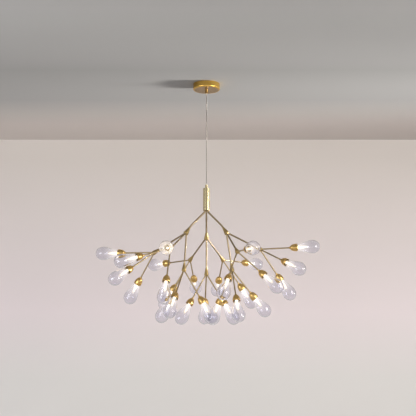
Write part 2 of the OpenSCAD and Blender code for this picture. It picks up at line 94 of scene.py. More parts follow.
class ChandelierSizes(bpy.types.PropertyGroup):
    """Sizes of the pieces, as they are in the CAD model."""
    fork_reach: length("Fork reach", "Distance of a main fork from the hub's axis", 0.09964)
    fork_height: FloatProperty(name="Fork height", description="Height of the main forks below the ceiling",
                               default=-0.68208, unit="LENGTH", precision=4)
    fork_dip: angle("Fork dip", "Dip of a main fork's axis below the horizontal", 54)
    branch_splay: angle("Branch splay", "Angle of a branch arm to its fork's axis", 32)
    lamp_splay: angle("Lamp splay", "Angle of a lamp stem to its fork's axis", 34)
    main_radius: length("Main arm radius", "Outside radius of a main arm", 0.004)
    branch_radius: length("Branch arm radius", "Outside radius of a branch arm", 0.0035)
    stem_radius: length("Stem radius", "Outside radius of a lamp stem", 0.003)
    stem_length: length("Stem length", "From the fork to the mouth of the cup", 0.164)
    fork_length: length("Fork length", "Length of a fork's cone", 0.032)
    outlet_web: length("Outlet web", "Metal between two outlets of a fork", 0.0036)
    outlet_rim: length("Outlet rim", "Metal outside an outlet of a fork", 0.002)
    cup_radius: length("Cup radius", "Outside radius of a lamp cup's mouth", 0.0165)
    cup_length: length("Cup length", "Length of a lamp cup", 0.036)
    cup_wall: length("Cup wall", "Wall of a lamp cup", 0.0012)
    cup_collar: length("Cup collar", "Length of the cup's collar around its stem", 0.005)
    cup_fullness: FloatProperty(name="Cup fullness", description="Fullness of the bell: 1 is a cone, 2 an ellipse",
                                default=1.8, min=1.4, max=2.2)
    skirt_length: length("Skirt length", "Straight part of the cup at its mouth", 0.006)
    ring_seat: length("Ring seat", "Depth of the retaining ring's seat", 0.008)
    neck_radius: length("Neck radius", "Outside radius of a shade's neck", 0.012)
    shade_radius: length("Shade radius", "Greatest radius of a glass shade", 0.029)
    shade_length: length("Shade length", "Length of a shade past the cup's mouth", 0.101)
    shade_end: length("Round end", "Length of a shade's round end", 0.032)
    glass_wall: length("Glass wall", "Wall of a shade", 0.0015)
    holder_radius: length("Holder radius", "Radius of a lampholder", 0.006)
    capsule_radius: length("Capsule radius", "Radius of a capsule lamp", 0.0075)
    capsule_length: length("Capsule length", "Length of a capsule lamp", 0.062)
    segments: IntProperty(name="Segments", description="Sides of a turned piece", default=40, min=12, max=96)


class ChandelierFinishes(bpy.types.PropertyGroup):
    """Colours of the finishes, some of which hold painted light or shade."""
    canopy_brass: tint("Canopy brass", "Polished brass of the canopy's side", (0.80, 0.50, 0.115))
    # Painted shade: the canopy's underside and the lower part of its rounded edge take this darker brass colour.
    canopy_painted_shade: tint("Canopy floor", "Duller brass of the canopy's underside", (0.30, 0.205, 0.085))
    hub_brass: tint("Hub brass", "Pale polished brass of the hub", (0.72, 0.61, 0.36))
    # Painted shade: the hub's underside takes this darker brass colour.
    hub_painted_shade: tint("Hub floor", "Dull brass of the hub's underside", (0.26, 0.19, 0.10))
    arm_brass: tint("Arm brass", "Aged brass of the arms", (0.36, 0.28, 0.17))
    stem_brass: tint("Stem brass", "Aged brass of the lamp stems", (0.44, 0.34, 0.19))
    fork_brass: tint("Fork brass", "Satin brass of the forks", (0.52, 0.38, 0.16))
    cup_brass: tint("Cup brass", "Warm brass of the lamp cups", (0.72, 0.48, 0.17))
    # Painted shade: the retaining rings are coloured near black, so each cup's mouth shows a dark band.
    ring_bronze_painted_shade: tint("Ring bronze", "Brown bronze of the retaining rings", (0.085, 0.048, 0.024))
    tarnish: tint("Tarnish", "Colour of aged patches on brass", (0.22, 0.15, 0.08))
    zinc: tint("Zinc", "Plated steel of the hidden fittings", (0.62, 0.63, 0.64))
    cable_grey: tint("Cable grey", "Sheath of the suspension cable", (0.16, 0.145, 0.125))
    glass: tint("Glass", "Tint of the shades", (0.89, 0.895, 0.94))
    # Painted light: the glass of each shade's neck glows as if holding the lamp's light.
    painted_neck_glow: tint("Painted neck glow", "Lamp light held in a shade's neck", (0.135, 0.124, 0.108))
    # Painted shade: the glass of the neck inside the cup is coloured dark brown, so the cup's mouth shows as a dark
    # ring through the shade.
    painted_neck_shade: tint("Neck painted shade", "Brown seal round the neck's end, inside the cup", (0.22, 0.13, 0.08))
    lamp_glow: tint("Lamp glow", "Light of the capsule lamps", (1.0, 0.86, 0.62))
    porcelain: tint("Porcelain", "Ceramic of the lampholders", (0.86, 0.83, 0.76))
    housing_white: tint("Housing white", "Plastic of the driver housing", (0.80, 0.80, 0.77))
    block_ivory: tint("Block ivory", "Plastic of the connectors", (0.74, 0.70, 0.58))
    # Painted shade: the wall is painted darker under the ceiling; near the floor it is painted a little darker and
    # less pink.
    wall_top_painted_shade: tint("Wall top", "Wall under the ceiling", (0.62, 0.575, 0.54))
    wall: tint("Wall", "Wall behind the lamps", (0.80, 0.72, 0.73))
    wall_low: tint("Wall foot", "Wall near the floor", (0.73, 0.71, 0.69))
    # Painted light and shade: the ceiling is painted dark where the lamps light it strongly, and lighter towards the
    # front and the wall, where they light it less.
    ceiling: tint("Ceiling", "Ceiling over the light", (0.228, 0.228, 0.226))
    ceiling_painted_light_by_wall: tint("Ceiling by the wall", "Ceiling where it meets the wall", (0.57, 0.525, 0.50))
    floor: tint("Floor", "Floor under the light", (0.70, 0.66, 0.63))


def sizes():
    """The scene's sizes."""
    return bpy.context.scene.chandelier_sizes


# Shared effects, each a node group


def new_group(name, colours, numbers, outputs):
    """An empty shader node group that takes a vector, colours and numbers, with its input and output nodes."""
    group = bpy.data.node_groups.new(name, "ShaderNodeTree")
    group.interface.new_socket(name="Vector", in_out="INPUT", socket_type="NodeSocketVector")
    for kind, inputs in (("NodeSocketColor", colours), ("NodeSocketFloat", numbers)):
        for label, value in inputs.items():
            group.interface.new_socket(name=label, in_out="INPUT", socket_type=kind).default_value = value
    for label in outputs:
        kind = "NodeSocketColor" if label == "Color" else "NodeSocketFloat"
        group.interface.new_socket(name=label, in_out="OUTPUT", socket_type=kind)
    return group, group.nodes.new("NodeGroupInput"), group.nodes.new("NodeGroupOutput")


def set_inputs(node, values):
    """Sets a node's inputs by name."""
    for label, value in values.items():
        node.inputs[label].default_value = value


def feed(tree, socket, value):
    """Sets a socket to a value, or links it to another socket."""
    if isinstance(value, (int, float, tuple)):
        socket.default_value = value
    else:
        tree.links.new(value, socket)


def noise(tree, vector, scale, detail, roughness=0.5):
    """The value of a noise texture on a vector."""
    node = tree.nodes.new("ShaderNodeTexNoise")
    set_inputs(node, {"Detail": detail, "Roughness": roughness})
    tree.links.new(vector, node.inputs["Vector"])
    feed(tree, node.inputs["Scale"], scale)
    return node.outputs["Fac"]


def split(tree, vector):
    """The X, Y and Z of a vector, as the outputs of one node."""
    node = tree.nodes.new("ShaderNodeSeparateXYZ")
    tree.links.new(vector, node.inputs["Vector"])
    return node.outputs


def remap(tree, value, low, high, new_low, new_high):
    """A value mapped from one range to another, clamped."""
    node = tree.nodes.new("ShaderNodeMapRange")
    tree.links.new(value, node.inputs["Value"])
    for label, number in (("From Min", low), ("From Max", high), ("To Min", new_low), ("To Max", new_high)):
        feed(tree, node.inputs[label], number)
    return node.outputs["Result"]


def calculate(tree, operation, first, second):
    """A maths node on two values."""
    node = tree.nodes.new("ShaderNodeMath")
    node.operation = operation
    for socket, number in zip(node.inputs, (first, second)):
        feed(tree, socket, number)
    return node.outputs["Value"]


def blended(tree, factor, first, second, mode="MIX"):
    """A colour mixed from two colours, each a socket or its red, green and blue."""
    node = tree.nodes.new("ShaderNodeMix")
    node.data_type = "RGBA"
    node.blend_type = mode
    feed(tree, node.inputs["Factor"], factor)
    for label, colour in (("A", first), ("B", second)):
        socket = [s for s in node.inputs if s.name == label and s.type == "RGBA"][0]
        feed(tree, socket, colour if isinstance(colour, bpy.types.NodeSocket) else (*colour, 1.0))
    return [s for s in node.outputs if s.type == "RGBA"][0]


def build_aged_metal():
    """Aged metal: tarnished clouds, fine grain and small pits, put out as a colour, a roughness and a height."""
    group, given, result = new_group(
        "Aged Metal", {"Metal": (0.6, 0.45, 0.2, 1), "Tarnish": (0.2, 0.15, 0.08, 1)},
        {"Cloud Scale": 35.0, "Tarnish Amount": 0.35, "Roughness": 0.28, "Roughness Spread": 0.12},
        ("Color", "Roughness", "Height"))
    given = given.outputs
    clouds = noise(group, given["Vector"], given["Cloud Scale"], 5.0, 0.62)
    grain = noise(group, given["Vector"], 900.0, 2.0)
    pits = noise(group, given["Vector"], 420.0, 3.0, 0.7)
    patch = remap(group, clouds, 0.42, 0.68, 0.0, given["Tarnish Amount"])
    speck = remap(group, pits, 0.63, 0.74, 0.0, given["Tarnish Amount"])
    dark = calculate(group, "MAXIMUM", patch, speck)
    toned = blended(group, dark, given["Metal"], given["Tarnish"])
    shade = remap(group, grain, 0.3, 0.7, 0.94, 1.0)
    grey = group.nodes.new("ShaderNodeCombineColor")
    for channel in ("Red", "Green", "Blue"):
        group.links.new(shade, grey.inputs[channel])
    group.links.new(blended(group, 1.0, toned, grey.outputs["Color"], "MULTIPLY"), result.inputs["Color"])
    spread = calculate(group, "MULTIPLY", clouds, given["Roughness Spread"])
    rough = calculate(group, "ADD", given["Roughness"], spread)
    worn = calculate(group, "MULTIPLY", dark, 0.25)
    group.links.new(calculate(group, "ADD", rough, worn), result.inputs["Roughness"])
    depth = calculate(group, "MULTIPLY", speck, 1.5)
    group.links.new(calculate(group, "SUBTRACT", grain, depth), result.inputs["Height"])
    return group


def build_turning_marks():
    """Fine rings left by a lathe round the Z axis of a vector, put out as a height."""
    group, given, result = new_group("Turning Marks", {}, {}, ("Height",))
    up = split(group, given.outputs["Vector"])["Z"]
    along = group.nodes.new("ShaderNodeCombineXYZ")
    group.links.new(calculate(group, "MULTIPLY", up, 2500.0), along.inputs["Z"])
    group.links.new(noise(group, along.outputs["Vector"], 1.0, 3.0, 0.6), result.inputs["Height"])
    return group


def build_moulded_skin():
    """The faint orange-peel skin and colour drift of moulded plastic and glazed ceramic."""
    group, given, result = new_group(
        "Moulded Skin", {"Colour": (0.8, 0.8, 0.8, 1)}, {"Drift": 0.06, "Roughness": 0.45},
        ("Color", "Roughness", "Height"))
    given = given.outputs
    broad = noise(group, given["Vector"], 40.0, 3.0)
    skin = noise(group, given["Vector"], 1500.0, 2.0)
    dark = remap(group, broad, 0.35, 0.75, 0.0, given["Drift"])
    group.links.new(blended(group, dark, given["Colour"], (0.25, 0.22, 0.18)), result.inputs["Color"])
    uneven = calculate(group, "MULTIPLY", broad, 0.12)
    group.links.new(calculate(group, "ADD", given["Roughness"], uneven), result.inputs["Roughness"])
    group.links.new(skin, result.inputs["Height"])
    return group


EFFECTS = {"Aged Metal": build_aged_metal, "Turning Marks": build_turning_marks, "Moulded Skin": build_moulded_skin}


# Materials


def start_material(name):
    """A new material with its tree, shader and output."""
    material = bpy.data.materials.new(name)
    material.use_nodes = True
    tree = material.node_tree
    return material, tree, tree.nodes["Principled BSDF"], tree.nodes["Material Output"]


def own_vector(tree, follows_shape):
    """Object coordinates, or the place that a turned piece's points had before it was set in the light."""
    if follows_shape:
        node = tree.nodes.new("ShaderNodeAttribute")
        node.attribute_name = "own_place"
        return node.outputs["Vector"]
    return tree.nodes.new("ShaderNodeTexCoord").outputs["Object"]


def raise_surface(tree, shader, height, distance, strength):
    """Feeds a height to the shader's normal."""
    bump = tree.nodes.new("ShaderNodeBump")
    set_inputs(bump, {"Distance": distance, "Strength": strength})
    tree.links.new(height, bump.inputs["Height"])
    tree.links.new(bump.outputs["Normal"], shader.inputs["Normal"])


def add_effect(tree, name, vector):
    """A shared effect in a material, built when it is first asked for and fed with a vector."""
    node = tree.nodes.new("ShaderNodeGroup")
    node.node_tree = bpy.data.node_groups.get(name) or EFFECTS[name]()
    tree.links.new(vector, node.inputs["Vector"])
    return node


def let_through(tree, shader, output, factor, clear_colour=(1.0, 1.0, 1.0)):
    """Puts out the shader, mixed with a clear surface by a factor."""
    clear = tree.nodes.new("ShaderNodeBsdfTransparent")
    clear.inputs["Color"].default_value = (*clear_colour, 1.0)
    mix = tree.nodes.new("ShaderNodeMixShader")
    tree.links.new(factor, mix.inputs["Fac"])
    tree.links.new(shader.outputs["BSDF"], mix.inputs[1])
    tree.links.new(clear.outputs["BSDF"], mix.inputs[2])
    tree.links.new(mix.outputs["Shader"], output.inputs["Surface"])


def painted_underside_shade(tree, vector, top, radius):
    """The mask of a painted underside shade: one below a height and within a radius of the Z axis, and zero elsewhere,
    with a soft outer edge.
    """
    soft = 0.0003
    parts = split(tree, vector)
    flat = tree.nodes.new("ShaderNodeCombineXYZ")
    for axis in ("X", "Y"):
        tree.links.new(parts[axis], flat.inputs[axis])
    far = tree.nodes.new("ShaderNodeVectorMath")
    far.operation = "LENGTH"
    tree.links.new(flat.outputs["Vector"], far.inputs[0])
    inside = remap(tree, far.outputs["Value"], radius * 0.8, radius, 1.0, 0.0)
    below = remap(tree, parts["Z"], top - soft, top + soft, 1.0, 0.0)
    return calculate(tree, "MULTIPLY", inside, below)


def brass(name, colour, tarnish, amount, roughness, cloud_scale=35.0, follows_shape=False, spread=0.12,
          brushed=0.0, underside_shade_colour=None, underside_shade_top=0.0, underside_shade_radius=1.0, grain=0.35):
    """Brass with tarnished clouds and fine grain, brushed round Z where asked, and with a painted shade in a darker
    colour on its underside where asked.
    """
    material, tree, shader, _ = start_material(name)
    vector = own_vector(tree, follows_shape)
    group = add_effect(tree, "Aged Metal", vector)
    set_inputs(group, {"Metal": (*colour, 1.0), "Tarnish": (*tarnish, 1.0), "Cloud Scale": cloud_scale,
                       "Tarnish Amount": amount, "Roughness": roughness, "Roughness Spread": spread})
    if underside_shade_colour is not None:
        # Painted shade: below a height and near the Z axis the brass takes a second, darker colour.
        under = painted_underside_shade(tree, vector, underside_shade_top, underside_shade_radius)
        tree.links.new(blended(tree, under, colour, underside_shade_colour), group.inputs["Metal"])
    set_inputs(shader, {"Metallic": 1.0, "Anisotropic": brushed})
    tree.links.new(group.outputs["Color"], shader.inputs["Base Color"])
    tree.links.new(group.outputs["Roughness"], shader.inputs["Roughness"])
    height = group.outputs["Height"]
    if follows_shape or brushed:
        marks = add_effect(tree, "Turning Marks", vector)
        height = calculate(tree, "ADD", height, marks.outputs["Height"])
    raise_surface(tree, shader, height, 0.00008, grain)
    return material


def moulded(name, colour, roughness, drift, follows_shape=False, coat=0.0):
    """Moulded plastic or glazed ceramic."""
    material, tree, shader, _ = start_material(name)
    group = add_effect(tree, "Moulded Skin", own_vector(tree, follows_shape))
    set_inputs(group, {"Colour": (*colour, 1.0), "Roughness": roughness, "Drift": drift})
    tree.links.new(group.outputs["Color"], shader.inputs["Base Color"])
    tree.links.new(group.outputs["Roughness"], shader.inputs["Roughness"])
    shader.inputs["Coat Weight"].default_value = coat
    raise_surface(tree, shader, group.outputs["Height"], 0.00005, 0.3)
    return material


def blown_glass(name, colour, painted_neck_glow, painted_glow_end, painted_shade_colour, painted_shade_end):
    """Clear wavy glass that lets lamp light and shadow rays through, with a painted glow in its neck and a painted
    shade where the neck sits in the cup.
    """
    material, tree, shader, output = start_material(name)
    set_inputs(shader, {"Roughness": 0.0, "IOR": 1.45, "Transmission Weight": 1.0, "Emission Strength": 1.0})
    vector = own_vector(tree, True)
    height = split(tree, vector)["Z"]
    # Painted shade: the glass inside the cup takes a dark colour.
    above_painted_shade = remap(tree, height, painted_shade_end - 0.001, painted_shade_end, 0.0, 1.0)
    tree.links.new(blended(tree, above_painted_shade, painted_shade_colour, colour), shader.inputs["Base Color"])
    # Painted light: the neck's glass glows, fading out along the shade.
    level = calculate(tree, "MULTIPLY", remap(tree, height, 0.0, painted_glow_end, 1.0, 0.0), above_painted_shade)
    tree.links.new(blended(tree, level, (0.0, 0.0, 0.0), painted_neck_glow), shader.inputs["Emission Color"])
    raise_surface(tree, shader, noise(tree, vector, 55.0, 1.0), 0.0006, 0.12)
    path = tree.nodes.new("ShaderNodeLightPath").outputs
    either = calculate(tree, "MAXIMUM", path["Is Shadow Ray"], path["Is Diffuse Ray"])
    let_through(tree, shader, output, either, (0.97, 0.97, 0.975))
    return material


def glowing(name, colour, strength, clearness, fade_from, fade_to):
    """A lit piece of a capsule lamp, whose glow fades towards the lamp's tip."""
    material, tree, shader, _ = start_material(name)
    set_inputs(shader, {"Base Color": (0.92, 0.88, 0.80, 1.0), "Roughness": 0.35, "Alpha": 1.0 - clearness,
                        "Emission Strength": strength})
    vector = own_vector(tree, True)
    cloud = remap(tree, noise(tree, vector, 260.0, 2.0), 0.3, 0.7, 0.9, 1.0)
    fading = remap(tree, split(tree, vector)["Z"], fade_from, fade_to, 1.0, 0.0)
    level = calculate(tree, "MULTIPLY", cloud, fading)
    tree.links.new(blended(tree, level, shaded(colour, 0.35), colour), shader.inputs["Emission Color"])
    return material


def twisted_sheath(name, colour):
    """The round cable's sheath, with the twist of its cores just showing."""
    material, tree, shader, _ = start_material(name)
    vector = own_vector(tree, False)
    parts = split(tree, vector)
    turns = calculate(tree, "MULTIPLY", calculate(tree, "ARCTAN2", parts["Y"], parts["X"]), 3.0)
    climb = calculate(tree, "MULTIPLY", parts["Z"], 520.0)
    twist = calculate(tree, "SINE", calculate(tree, "ADD", turns, climb), 0.0)
    dust = noise(tree, vector, 300.0, 3.0)
    level = remap(tree, calculate(tree, "ADD", twist, dust), -1.0, 2.0, 0.0, 0.5)
    tree.links.new(blended(tree, level, colour, shaded(colour, 1.5)), shader.inputs["Base Color"])
    tree.links.new(remap(tree, dust, 0.3, 0.7, 0.6, 0.75), shader.inputs["Roughness"])
    shader.inputs["Specular IOR Level"].default_value = 0.25
    raise_surface(tree, shader, twist, 0.0002, 0.6)
    return material


def one_sided(name, stops, axis="Z"):
    """Paint that changes along an axis, from (place, colour) stops, seen from inside and clear from behind; on the
    ceiling and wall the changes are painted light and shade.
    """
    material, tree, shader, output = start_material(name)
    vector = own_vector(tree, False)
    along = split(tree, vector)[axis]
    paint = stops[0][1]
    for (here, _), (there, colour) in zip(stops, stops[1:]):
        paint = blended(tree, remap(tree, along, here, there, 0.0, 1.0), paint, colour)
    drift = remap(tree, noise(tree, vector, 0.7, 2.0), 0.3, 0.7, 0.0, 0.03)
    tree.links.new(blended(tree, drift, paint, (0.3, 0.3, 0.3)), shader.inputs["Base Color"])
    set_inputs(shader, {"Roughness": 0.9, "Specular IOR Level": 0.1})
    let_through(tree, shader, output, tree.nodes.new("ShaderNodeNewGeometry").outputs["Backfacing"])
    return material


def shaded(colour, share):
    """A colour made lighter or darker."""
    return tuple(min(1.0, share * channel) for channel in colour)


def finish(name):
    """A finish by name, made when it is first asked for."""
    if name in bpy.data.materials:
        return bpy.data.materials[name]
    f = bpy.context.scene.chandelier_finishes
    makers = {
        # The canopy's side is its brass; its underside and lower edge carry a painted shade in a darker colour.
        "Canopy Brass": lambda: brass(name, f.canopy_brass, f.tarnish, 0.12, 0.19, 60.0, spread=0.06, brushed=0.7,
                                      underside_shade_colour=f.canopy_painted_shade, underside_shade_top=-0.0240, underside_shade_radius=0.062,
                                      grain=0.06),
        # The hub's underside carries a painted shade in a darker colour.
        "Hub Brass": lambda: brass(name, f.hub_brass, f.tarnish, 0.015, 0.21, 25.0, spread=0.02,
                                   underside_shade_colour=f.hub_painted_shade, underside_shade_top=-0.5780, grain=0.008),
        "Arm Brass": lambda: brass(name, f.arm_brass, f.tarnish, 0.50, 0.34),
        "Stem Brass": lambda: brass(name, f.stem_brass, f.tarnish, 0.45, 0.30, follows_shape=True),
        "Fork Brass": lambda: brass(name, f.fork_brass, f.tarnish, 0.50, 0.27, 60.0, follows_shape=True),
        "Cup Brass": lambda: brass(name, f.cup_brass, f.tarnish, 0.16, 0.22, 60.0, follows_shape=True),
        "Ring Bronze Painted Shade": lambda: brass(name, f.ring_bronze_painted_shade, f.tarnish, 0.40, 0.35, 60.0, follows_shape=True),
        "Screw Steel": lambda: brass(name, (0.35, 0.33, 0.30), (0.1, 0.1, 0.1), 0.3, 0.35, 60.0, follows_shape=True),
        "Zinc Plate": lambda: brass(name, f.zinc, (0.35, 0.35, 0.33), 0.4, 0.35, 80.0),
        "Cable Sheath": lambda: twisted_sheath(name, f.cable_grey),
        # Shade glass with a painted glow in its neck and a painted shade inside the cup.
        "Shade Glass": lambda: blown_glass(name, f.glass, f.painted_neck_glow, 0.058, f.painted_neck_shade, 0.001),
        "Lamp Envelope": lambda: glowing(name, f.lamp_glow, 0.60, 0.75, fade_from=0.0, fade_to=0.052),
        "Lamp Sleeve": lambda: glowing(name, f.lamp_glow, 0.95, 0.50, fade_from=0.0, fade_to=0.056),
        "Lamp Core": lambda: glowing(name, f.lamp_glow, 1.7, 0.0, fade_from=0.01, fade_to=0.07),
        "Lamp Chip": lambda: glowing(name, f.lamp_glow, 2.4, 0.0, fade_from=0.01, fade_to=0.08),
        "Porcelain": lambda: moulded(name, f.porcelain, 0.25, 0.08, True, 0.4),
        "Housing Plastic": lambda: moulded(name, f.housing_white, 0.50, 0.10),
        "Block Plastic": lambda: moulded(name, f.block_ivory, 0.40, 0.12),
        # The wall's paint carries a painted shade under the ceiling.
        "Wall Paint With Painted Shade": lambda: one_sided(name, ((-1.3, f.wall_low), (-0.95, f.wall), (-0.1, f.wall_top_painted_shade))),
        # The ceiling's paint carries painted light: lighter towards the front and the wall, darkest near the light.
        "Ceiling Paint With Painted Light": lambda: one_sided(name, (
            (-0.9, shaded(f.ceiling, 1.8)), (-0.6, shaded(f.ceiling, 1.4)), (-0.2, f.ceiling),
            (0.25, shaded(f.ceiling, 1.2)), (0.69, shaded(f.ceiling_painted_light_by_wall, 0.86)), (0.95, f.ceiling_painted_light_by_wall)), "Y"),
        "Floor Paint": lambda: one_sided(name, ((-2.6, f.floor),)),
    }
    return makers[name]()


# Places in the light


def turn(axis, degrees):
    """A rotation about an axis, in degrees."""
    return Matrix.Rotation(math.radians(degrees), 4, axis)


def main_fork_place(main):
    """The frame of a main fork: its axis is Z, and its tubes meet at the origin."""
    s = sizes()
    index = MAINS.index(main)
    return (turn("Z", 90 + 120 * index) @ Matrix.Translation((s.fork_reach, 0, s.fork_height))
            @ turn("Y", 90 + math.degrees(s.fork_dip)) @ turn("Z", MAIN_TURNS[main]))


def cluster_place(cluster):
    """The frame of a lamp fork, at its joint."""
    s = sizes()
    main = cluster.split("_")[0]
    index = CLUSTERS[main].index(cluster)
    facing = (main_fork_place(main) @ turn("Z", 120 * index) @ turn("Y", math.degrees(s.branch_splay))
              @ turn("Z", CLUSTER_TURNS[cluster]))
    return Matrix.Translation(JOINTS["turn_" + cluster]["pos_m"]) @ facing.to_3x3().to_4x4()


def stem_places(cluster):
    """The frames of a cluster's three stems, from its fork."""
    splay = math.degrees(sizes().lamp_splay)
    return [cluster_place(cluster) @ turn("Z", third) @ turn("Y", splay) for third in THIRDS]


def mouth_places(cluster):
    """The frames of a cluster's three cup mouths."""
    return [place @ Matrix.Translation((0, 0, sizes().stem_length)) for place in stem_places(cluster)]


# Modelling helpers


def deselect():
    """Leaves nothing selected."""
    bpy.ops.object.select_all(action="DESELECT")


def select_only(objects):
    """Selects these objects alone, the first one active."""
    deselect()
    for item in objects:
        item.select_set(True)
    bpy.context.view_layer.objects.active = objects[0]


def apply_place():
    """Writes the selected objects' place, turn and scale into their meshes."""
    bpy.ops.object.transform_apply(location=True, rotation=True, scale=True)


def edit_faces(piece, wanted):
    """Enters edit mode with only the faces selected for which wanted is true."""
    bpy.ops.object.mode_set(mode="EDIT")
    bpy.ops.mesh.select_all(action="DESELECT")
    bpy.ops.object.mode_set(mode="OBJECT")
    for face in piece.data.polygons:
        face.select = wanted(face)
    bpy.ops.object.mode_set(mode="EDIT")


def bevel_edges(piece, width, segments=1):
    """Bevels a piece's sharp edges."""
    bevel = piece.modifiers.new("Edges", "BEVEL")
    bevel.width = width
    bevel.segments = segments
    bevel.limit_method = "ANGLE"
    bpy.ops.object.modifier_apply(modifier="Edges")


def round_end(radius, height, base, steps, first=0):
    """Points (radius, height) of a quarter ellipse, from its widest place nearly to the axis."""
    return [(radius * math.cos(a), base + height * math.sin(a))
            for a in (math.pi / 2 * i / steps for i in range(first, steps))]


def turned_piece(name, profile, segments=None, sharp=40):
    """Turns a profile of (radius, height) points about Z, as on a lathe."""
    deselect()
    bpy.ops.mesh.primitive_plane_add(size=0.001)
    piece = bpy.context.object
    piece.name = name
    bpy.ops.object.mode_set(mode="EDIT")
    bpy.ops.mesh.select_all(action="SELECT")
    bpy.ops.mesh.merge(type="CENTER")
    bpy.ops.mesh.select_all(action="SELECT")
    bpy.ops.transform.translate(value=(profile[0][0], 0, profile[0][1]))
    for here, there in zip(profile, profile[1:]):
        step = (there[0] - here[0], 0, there[1] - here[1])
        bpy.ops.mesh.extrude_region_move(TRANSFORM_OT_translate={"value": step})
    bpy.ops.mesh.select_all(action="SELECT")
    bpy.ops.mesh.spin(steps=segments or sizes().segments, angle=math.tau, center=(0, 0, 0), axis=(0, 0, 1))
    bpy.ops.mesh.select_all(action="SELECT")
    bpy.ops.mesh.remove_doubles(threshold=0.000002)
    bpy.ops.mesh.select_all(action="SELECT")
    bpy.ops.mesh.normals_make_consistent(inside=False)
    bpy.ops.object.mode_set(mode="OBJECT")
    bpy.ops.object.shade_smooth_by_angle(angle=math.radians(sharp))
    return piece


def small_screw(name, radius, height, place):
    """A grub screw with a round socket, standing on Z at a place."""
    deselect()
    bpy.ops.mesh.primitive_cylinder_add(vertices=24, radius=radius, depth=height, location=(0, 0, 0))
    piece = bpy.context.object
    piece.name = name
    edit_faces(piece, lambda face: face.normal.z > 0.9)
    bpy.ops.mesh.inset(thickness=radius * 0.45)
    bpy.ops.mesh.extrude_region_move(TRANSFORM_OT_translate={"value": (0, 0, -height * 0.6)})
    bpy.ops.object.mode_set(mode="OBJECT")
    bevel_edges(piece, radius * 0.12)
    piece.matrix_world = place
    apply_place()
    return piece


def led_chip(width, tall, thick, place):
    """A flat light-emitting chip, standing at a place on the outside of a lamp's core."""
    deselect()
    bpy.ops.mesh.primitive_cube_add(size=1, location=(0, 0, 0), scale=(thick, width, tall))
    chip = bpy.context.object
    apply_place()
    chip.matrix_world = place
    apply_place()
    return chip


def keep_own_place(piece):
    """Stores where each point of a piece is now, for finishes that follow its shape."""
    own = piece.data.attributes.new("own_place", "FLOAT_VECTOR", "POINT")
    points = [0.0] * (3 * len(piece.data.vertices))
    piece.data.vertices.foreach_get("co", points)
    own.data.foreach_set("vector", points)


def dress(piece, material_name):
    """Gives a piece one finish, and keeps its own place for it."""
    piece.data.materials.clear()
    piece.data.materials.append(finish(material_name))
    keep_own_place(piece)
    return piece


def joined(name, pieces):
    """Joins pieces into one."""
    select_only(pieces)
    if len(pieces) > 1:
        bpy.ops.object.join()
    pieces[0].name = name
    return pieces[0]


def copies_at(name, piece, places):
    """Copies a finished piece to each place and joins the copies into one piece at the origin."""
    copies = []
    for place in places:
        select_only([piece])
        bpy.ops.object.duplicate()
        copy = bpy.context.object
        copy.matrix_world = place
        copies.append(copy)
    select_only(copies)
    apply_place()
    return joined(name, copies)


def remove(piece):
    """Deletes the pattern piece once its copies are made."""
    select_only([piece])
    bpy.ops.object.delete()


# The operators


class CHANDELIER_OT_place_camera(bpy.types.Operator):
    """Set the camera at the photograph's viewing angle."""
    bl_idname = "chandelier.place_camera"
    bl_label = "Place camera"

    def execute(self, context):
        deselect()
        looking_up = 10.2
        focal_pixels = 975
        picture_pixels = 416
        tilt = math.radians(90 + looking_up)
        bpy.ops.object.camera_add(location=(0.007, -4.219, -1.3249), rotation=(tilt, 0, 0))
        camera = context.object
        camera.name = "Camera"
        camera.data.sensor_width = 36
        camera.data.lens = camera.data.sensor_width * focal_pixels / picture_pixels
        camera.data.clip_end = 60
        context.scene.camera = camera
        return {"FINISHED"}


class CHANDELIER_OT_finish_metalwork(bpy.types.Operator):
    """Give every CAD piece that stays its finish."""
    bl_idname = "chandelier.finish_metalwork"
    bl_label = "Finish the metalwork"

    def execute(self, context):
        by_slot = {
            "polished_brass": "Canopy Brass", "aged_brass": "Arm Brass", "satin_brass": "Arm Brass",
            "warm_brass": "Hub Brass", "zinc_plated_steel": "Zinc Plate", "white_plastic": "Housing Plastic",
            "ivory_plastic": "Block Plastic", "grey_cable": "Cable Sheath", "lamp_ceramic": "Housing Plastic",
            "clear_glass": "Housing Plastic",
        }
        # The ceramic and glass nodes are hidden behind their own models, so their finish here isn't seen
        for part in frame["record"]["subparts"]:
            node = NODES[part["node"]]
            chosen = finish("Hub Brass" if part["node"].startswith("hub") else by_slot[part["material_slot"]])
            for place in node.material_slots:
                place.material = chosen
        return {"FINISHED"}


